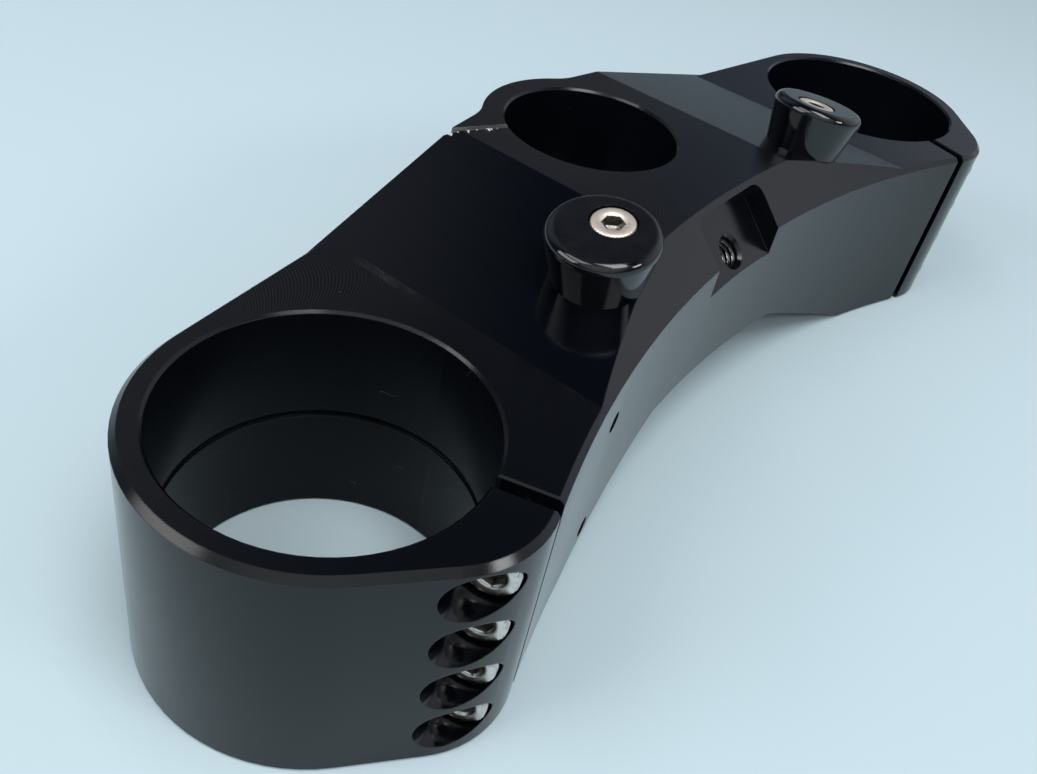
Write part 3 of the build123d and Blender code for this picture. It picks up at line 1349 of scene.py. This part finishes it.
@dataclass
class Fasteners:
    """Every screw of the clamp on its seat."""

    slit_angle: float = 18.5
    pinch_reach: float = 32.0
    pinch_land: float = 6.8
    pinch_levels: tuple[float, ...] = (-6.5, -17.5, -28.5, -39.5)
    pinch_length: float = 20.0
    pinch_turns: tuple[float, ...] = (8.0, 31.0, 17.0, 52.0)
    stem_reach: float = 26.742
    stem_land: float = 3.2
    stem_levels: tuple[float, ...] = (-1.75, -21.25)
    stem_length: float = 16.0
    stem_turns: tuple[float, ...] = (24.0, 3.0)
    stop_seat: float = 6.2
    stop_length: float = 20.0
    stop_turns: tuple[float, ...] = (34.0, 14.0)
    # Lit and shaded copies of one steel: the stop screws' heads painted brighter, the pinch bolts' heads in
    # their counterbores painted darker.
    bright: Stainless = Stainless()
    satin: Stainless = Stainless("counterbore_shade_stainless", (0.66, 0.63, 0.59), (0.16, 0.15, 0.14), roughness=0.24)
    # Sockets, shanks and threads: a darker copy of the steel, painted shade in the sockets and slits, with
    # some oil.
    dull: Stainless = Stainless("socket_shade_and_oil_stainless", (0.36, 0.34, 0.31), (0.12, 0.11, 0.10), roughness=0.26)

    def pinch_seats(self, side: Side) -> list[Matrix]:
        """Where the pinch bolts of one fork lug seat.

        Args:
            side: The lug's side.

        Returns:
            A frame for each bolt, from the top down.
        """
        sign = side.value
        along = plan_way(-90 - sign * self.slit_angle)
        out = Vector((-sign * along.y, sign * along.x, 0.0))
        lug = Vector((sign * PLAN.half_spacing, -PLAN.fork_ahead, 0.0))
        root = lug + along * self.pinch_reach + out * self.pinch_land
        return [seat_frame(root + Vector((0, 0, level)), along, out) for level in self.pinch_levels]

    def stem_seats(self) -> list[Matrix]:
        """Where the pinch bolts of the stem seat.

        Returns:
            A frame for each bolt, from the top down.
        """
        along = STEM_CUT.run
        out = STEM_CUT.across
        root = out * (STEM_CUT.offset + self.stem_land) + along * self.stem_reach
        return [seat_frame(root + Vector((0, 0, level)), along, out) for level in self.stem_levels]

    def build(self, stops: list[SteeringStop]) -> None:
        """Make all the screws.

        Args:
            stops: The steering stops, whose screws seat in them.
        """
        bright = self.bright.material()
        satin = self.satin.material()
        dull = self.dull.material()
        pinch = CapScrew(self.pinch_length)
        for side in Side:
            name = f"{side.word}_fork_screws"
            node = f"{side.word}_pinch_bolts"
            ScrewSet(name, node, pinch, self.pinch_seats(side), self.pinch_turns).build(satin, dull)
        stem = CapScrew(self.stem_length)
        stem_set = ScrewSet("stem_screws", "stem_pinch_bolts", stem, self.stem_seats(), self.stem_turns)
        stem_set.build(satin, dull)
        cap = CapScrew(self.stop_length)
        for stop, turn in zip(stops, self.stop_turns):
            name = f"{stop.side.word}_stop_cap_screw"
            node = f"{stop.side.word}_stop_screw"
            ScrewSet(name, node, cap, [stop.seat(self.stop_seat)], (turn,)).build(bright, dull)


@dataclass
class TappedHoles:
    """The threads of the bracket hole and of the two hose guide holes."""

    bracket_mouth: Point = (0.0, -41.0938, -3.9991)
    bracket_axis: Point = (0.0, -0.70711, 0.70711)
    bracket_start: float = 1.0
    bracket_depth: float = 17.4
    hose_across: float = -60.0
    hose_face: float = -51.692
    hose_levels: tuple[float, ...] = (-11.2, -39.2)
    hose_axis: Point = (0.0, -1.0, 0.0)
    hose_start: float = 0.8
    hose_depth: float = 11.6

    def build(self) -> None:
        """Make every thread."""
        bracket = (self.bracket_mouth, self.bracket_axis, Tap.M8, self.bracket_start, self.bracket_depth)
        TappedThread("bracket_hole_thread", *bracket).build()
        for word, level in zip(("upper", "lower"), self.hose_levels):
            mouth = (self.hose_across, self.hose_face, level)
            hose = (mouth, self.hose_axis, Tap.M5, self.hose_start, self.hose_depth)
            TappedThread(f"{word}_hose_hole_thread", *hose).build()


@dataclass
class SawBurrs:
    """Slivers that the saw left hanging on the near lip of the stem slit."""

    reaches: tuple[float, ...] = (23.1, 25.0, 25.7, 28.3, 30.4, 33.0, 34.4, 35.0)
    lengths: tuple[float, ...] = (0.25, 0.55, 0.90, 0.30, 1.00, 0.40, 1.00, 0.60)
    lifts: Span = (0.12, 0.30)
    drifts: Span = (-0.4, 0.4)
    broadest: float = 0.9
    breadths: Span = (0.75, 1.0)
    sink: float = 0.03
    bend: Span = (0.15, 0.95)
    taper: float = 0.6
    thickness: float = 0.10
    thinning: float = 0.5
    steps: int = 6
    smooth: float = 50.0
    seed: int = 8

    def sliver(self, root: Vector, length: float, chance: random.Random) -> list[Ring]:
        """One burr that bends out of the cut and down on to the top.

        Args:
            root: Where it hangs on the lip.
            length: How far it reaches from the lip.
            chance: Source of its small differences.

        Returns:
            Its rings from the lip to the tip.
        """
        run = STEM_CUT.run
        away = -STEM_CUT.across
        lift = chance.uniform(*self.lifts)
        drift = chance.uniform(*self.drifts)
        broad = min(self.broadest, length) * chance.uniform(*self.breadths)
        first, last = self.bend
        rings = []
        for step in range(self.steps + 1):
            part = step / self.steps
            rise = lift * math.sin(math.pi * (first + (last - first) * part)) - self.sink
            middle = root + away * (length * part) + run * (drift * part * part) + Vector((0, 0, rise))
            half = run * (broad * (1 - self.taper * part) / 2)
            thick = Vector((0, 0, self.thickness * (1 - self.thinning * part) / 2))
            upper = [middle - half + thick, middle + half + thick]
            rings.append([*upper, middle + half - thick, middle - half - thick])
        return rings

    def build(self, finish: bpy.types.Material) -> None:
        """Make the burrs as one piece.

        Args:
            finish: Their material.
        """
        chance = random.Random(self.seed)
        lip = STEM_CUT.start - STEM_CUT.across * (STEM_CUT.width / 2)
        book = MeshBook()
        for reach, length in zip(self.reaches, self.lengths):
            root = lip + STEM_CUT.run * reach
            root.z = PLAN.top(root.x)
            book.bar(self.sliver(root, length, chance))
        settle(mesh_object("stem_slit_burrs", book, self.smooth), Body.CLAMP, Slot.BILLET, finish)


@dataclass(frozen=True)
class Lamp:
    """A soft rectangular lamp that faces the part, in metres and watts."""

    name: str
    place: Point
    width: float
    height: float
    power: float

    def hang(self) -> None:
        """Put the lamp in the scene."""
        light = bpy.data.lights.new(self.name, "AREA")
        light.shape = "RECTANGLE"
        light.size = self.width
        light.size_y = self.height
        light.energy = self.power
        item = bpy.data.objects.new(self.name, light)
        item.location = self.place
        item.rotation_euler = (-Vector(self.place)).to_track_quat("-Z", "Y").to_euler()
        bpy.context.scene.collection.objects.link(item)


@dataclass(frozen=True)
class PaleWall:
    """A pale wall of the room: the way to it, the cosine at which it ends and its tone."""

    aim: Point
    spread: float
    tone: Colour


@dataclass
class Studio:
    """Floor, soft lamps, surroundings and camera, in metres."""

    floor_level: float = -0.047
    floor_rings: tuple[Span, ...] = ((0.5, 0.0), (1.5, 0.0), (3.0, 0.0), (4.0, 0.05), (5.0, 0.35))
    floor_sides: int = 72
    floor_smooth: float = 60.0
    lamps: tuple[Lamp, ...] = (
        Lamp("key_lamp", (-1.00, 0.60, 0.62), 0.80, 0.60, 6.2),
        Lamp("side_lamp", (-0.56, 0.30, 1.02), 0.60, 0.40, 2.5),
        Lamp("ceiling_lamp", (-0.15, -0.34, 1.13), 0.40, 0.86, 7.0),
        Lamp("front_lamp", (0.10, -1.12, 0.66), 0.32, 0.24, 2.7),
    )
    horizon: Colour = (0.28, 0.33, 0.37)
    ceiling: Colour = (0.018, 0.027, 0.042)
    horizon_span: Span = (0.0, 0.25)
    walls: tuple[PaleWall, ...] = (
        PaleWall((0.15, 0.80, 0.58), 0.84, (0.30, 0.32, 0.36)),
        PaleWall((0.80, 0.45, 0.38), 0.93, (0.135, 0.135, 0.145)),
        PaleWall((0.93, 0.22, 0.30), 0.96, (0.12, 0.16, 0.23)),
        PaleWall((0.80, -0.50, 0.33), 0.62, (0.62, 0.64, 0.70)),
        PaleWall((-0.62, -0.44, 0.65), 0.66, (0.85, 0.86, 0.88)),
    )
    lens: float = 35.11
    sensor: float = 36.0
    clip: Span = (0.005, 50.0)
    eye: Point = (-0.19035, -0.10549, 0.10546)
    right: Point = (0.6059, -0.7769, 0.1711)
    up: Point = (0.4235, 0.4971, 0.7573)
    back: Point = (-0.6734, -0.3864, 0.6302)

    def floor(self) -> None:
        """A broad round floor that rises gently at its far edge."""
        book = MeshBook()
        rings = []
        for reach, lift in self.floor_rings:
            level = Vector((0, 0, lift + self.floor_level))
            turns = [turn * 360 / self.floor_sides for turn in range(self.floor_sides)]
            rings.append([(plan_way(turn) * reach + level) / MM for turn in turns])
        book.loft(rings)
        book.lid(rings[0], Vector((0, 0, self.floor_level / MM)))
        item = mesh_object("studio_floor", book, self.floor_smooth)
        item.data.materials.append(PaleFloor().material())

    def surroundings(self) -> None:
        """A pale horizon under a dim room with pale walls."""
        world = bpy.data.worlds.new("studio_room")
        world.use_nodes = True
        bpy.context.scene.world = world
        graph = Graph(world.node_tree)
        way = graph.add("ShaderNodeTexCoord", None, None, "Generated")
        height = graph.split(way)[2]
        tone = graph.mix(height.rise(*self.horizon_span), self.horizon, self.ceiling)
        for wall in self.walls:
            tone = graph.mix(graph.aligned(way, wall.aim).rise(wall.spread, 1.0), tone, wall.tone)
        shader = graph.add("ShaderNodeBackground", None, {"Color": tone, "Strength": 1.0})
        graph.add("ShaderNodeOutputWorld", None, {"Surface": shader})

    def camera(self) -> None:
        """The camera where the photograph was taken from."""
        data = bpy.data.cameras.new("photo_camera")
        data.lens = self.lens
        data.sensor_width = self.sensor
        data.sensor_fit = "HORIZONTAL"
        data.clip_start, data.clip_end = self.clip
        item = bpy.data.objects.new("photo_camera", data)
        turn = Matrix((Vector(self.right), Vector(self.up), Vector(self.back))).transposed().to_4x4()
        turn.translation = self.eye
        item.matrix_world = turn
        bpy.context.scene.collection.objects.link(item)
        bpy.context.scene.camera = item

    def build(self) -> None:
        """Set the whole studio."""
        self.floor()
        self.surroundings()
        for lamp in self.lamps:
            lamp.hang()
        self.camera()
        bpy.context.scene.view_settings.view_transform = "Standard"


def main() -> None:
    """Dress the clamp, its stops, screws and threads, and set the studio."""
    logging.basicConfig(level=logging.INFO, format="%(name)s: %(message)s")
    dress("clamp_body", Body.CLAMP, MilledAnodise().material())
    stops = [SteeringStop(side) for side in Side]
    for stop in stops:
        stop.build()
    Fasteners().build(stops)
    TappedHoles().build()
    SawBurrs().build(BareAluminium().material())
    Studio().build()


if __name__ == "__main__":
    main()
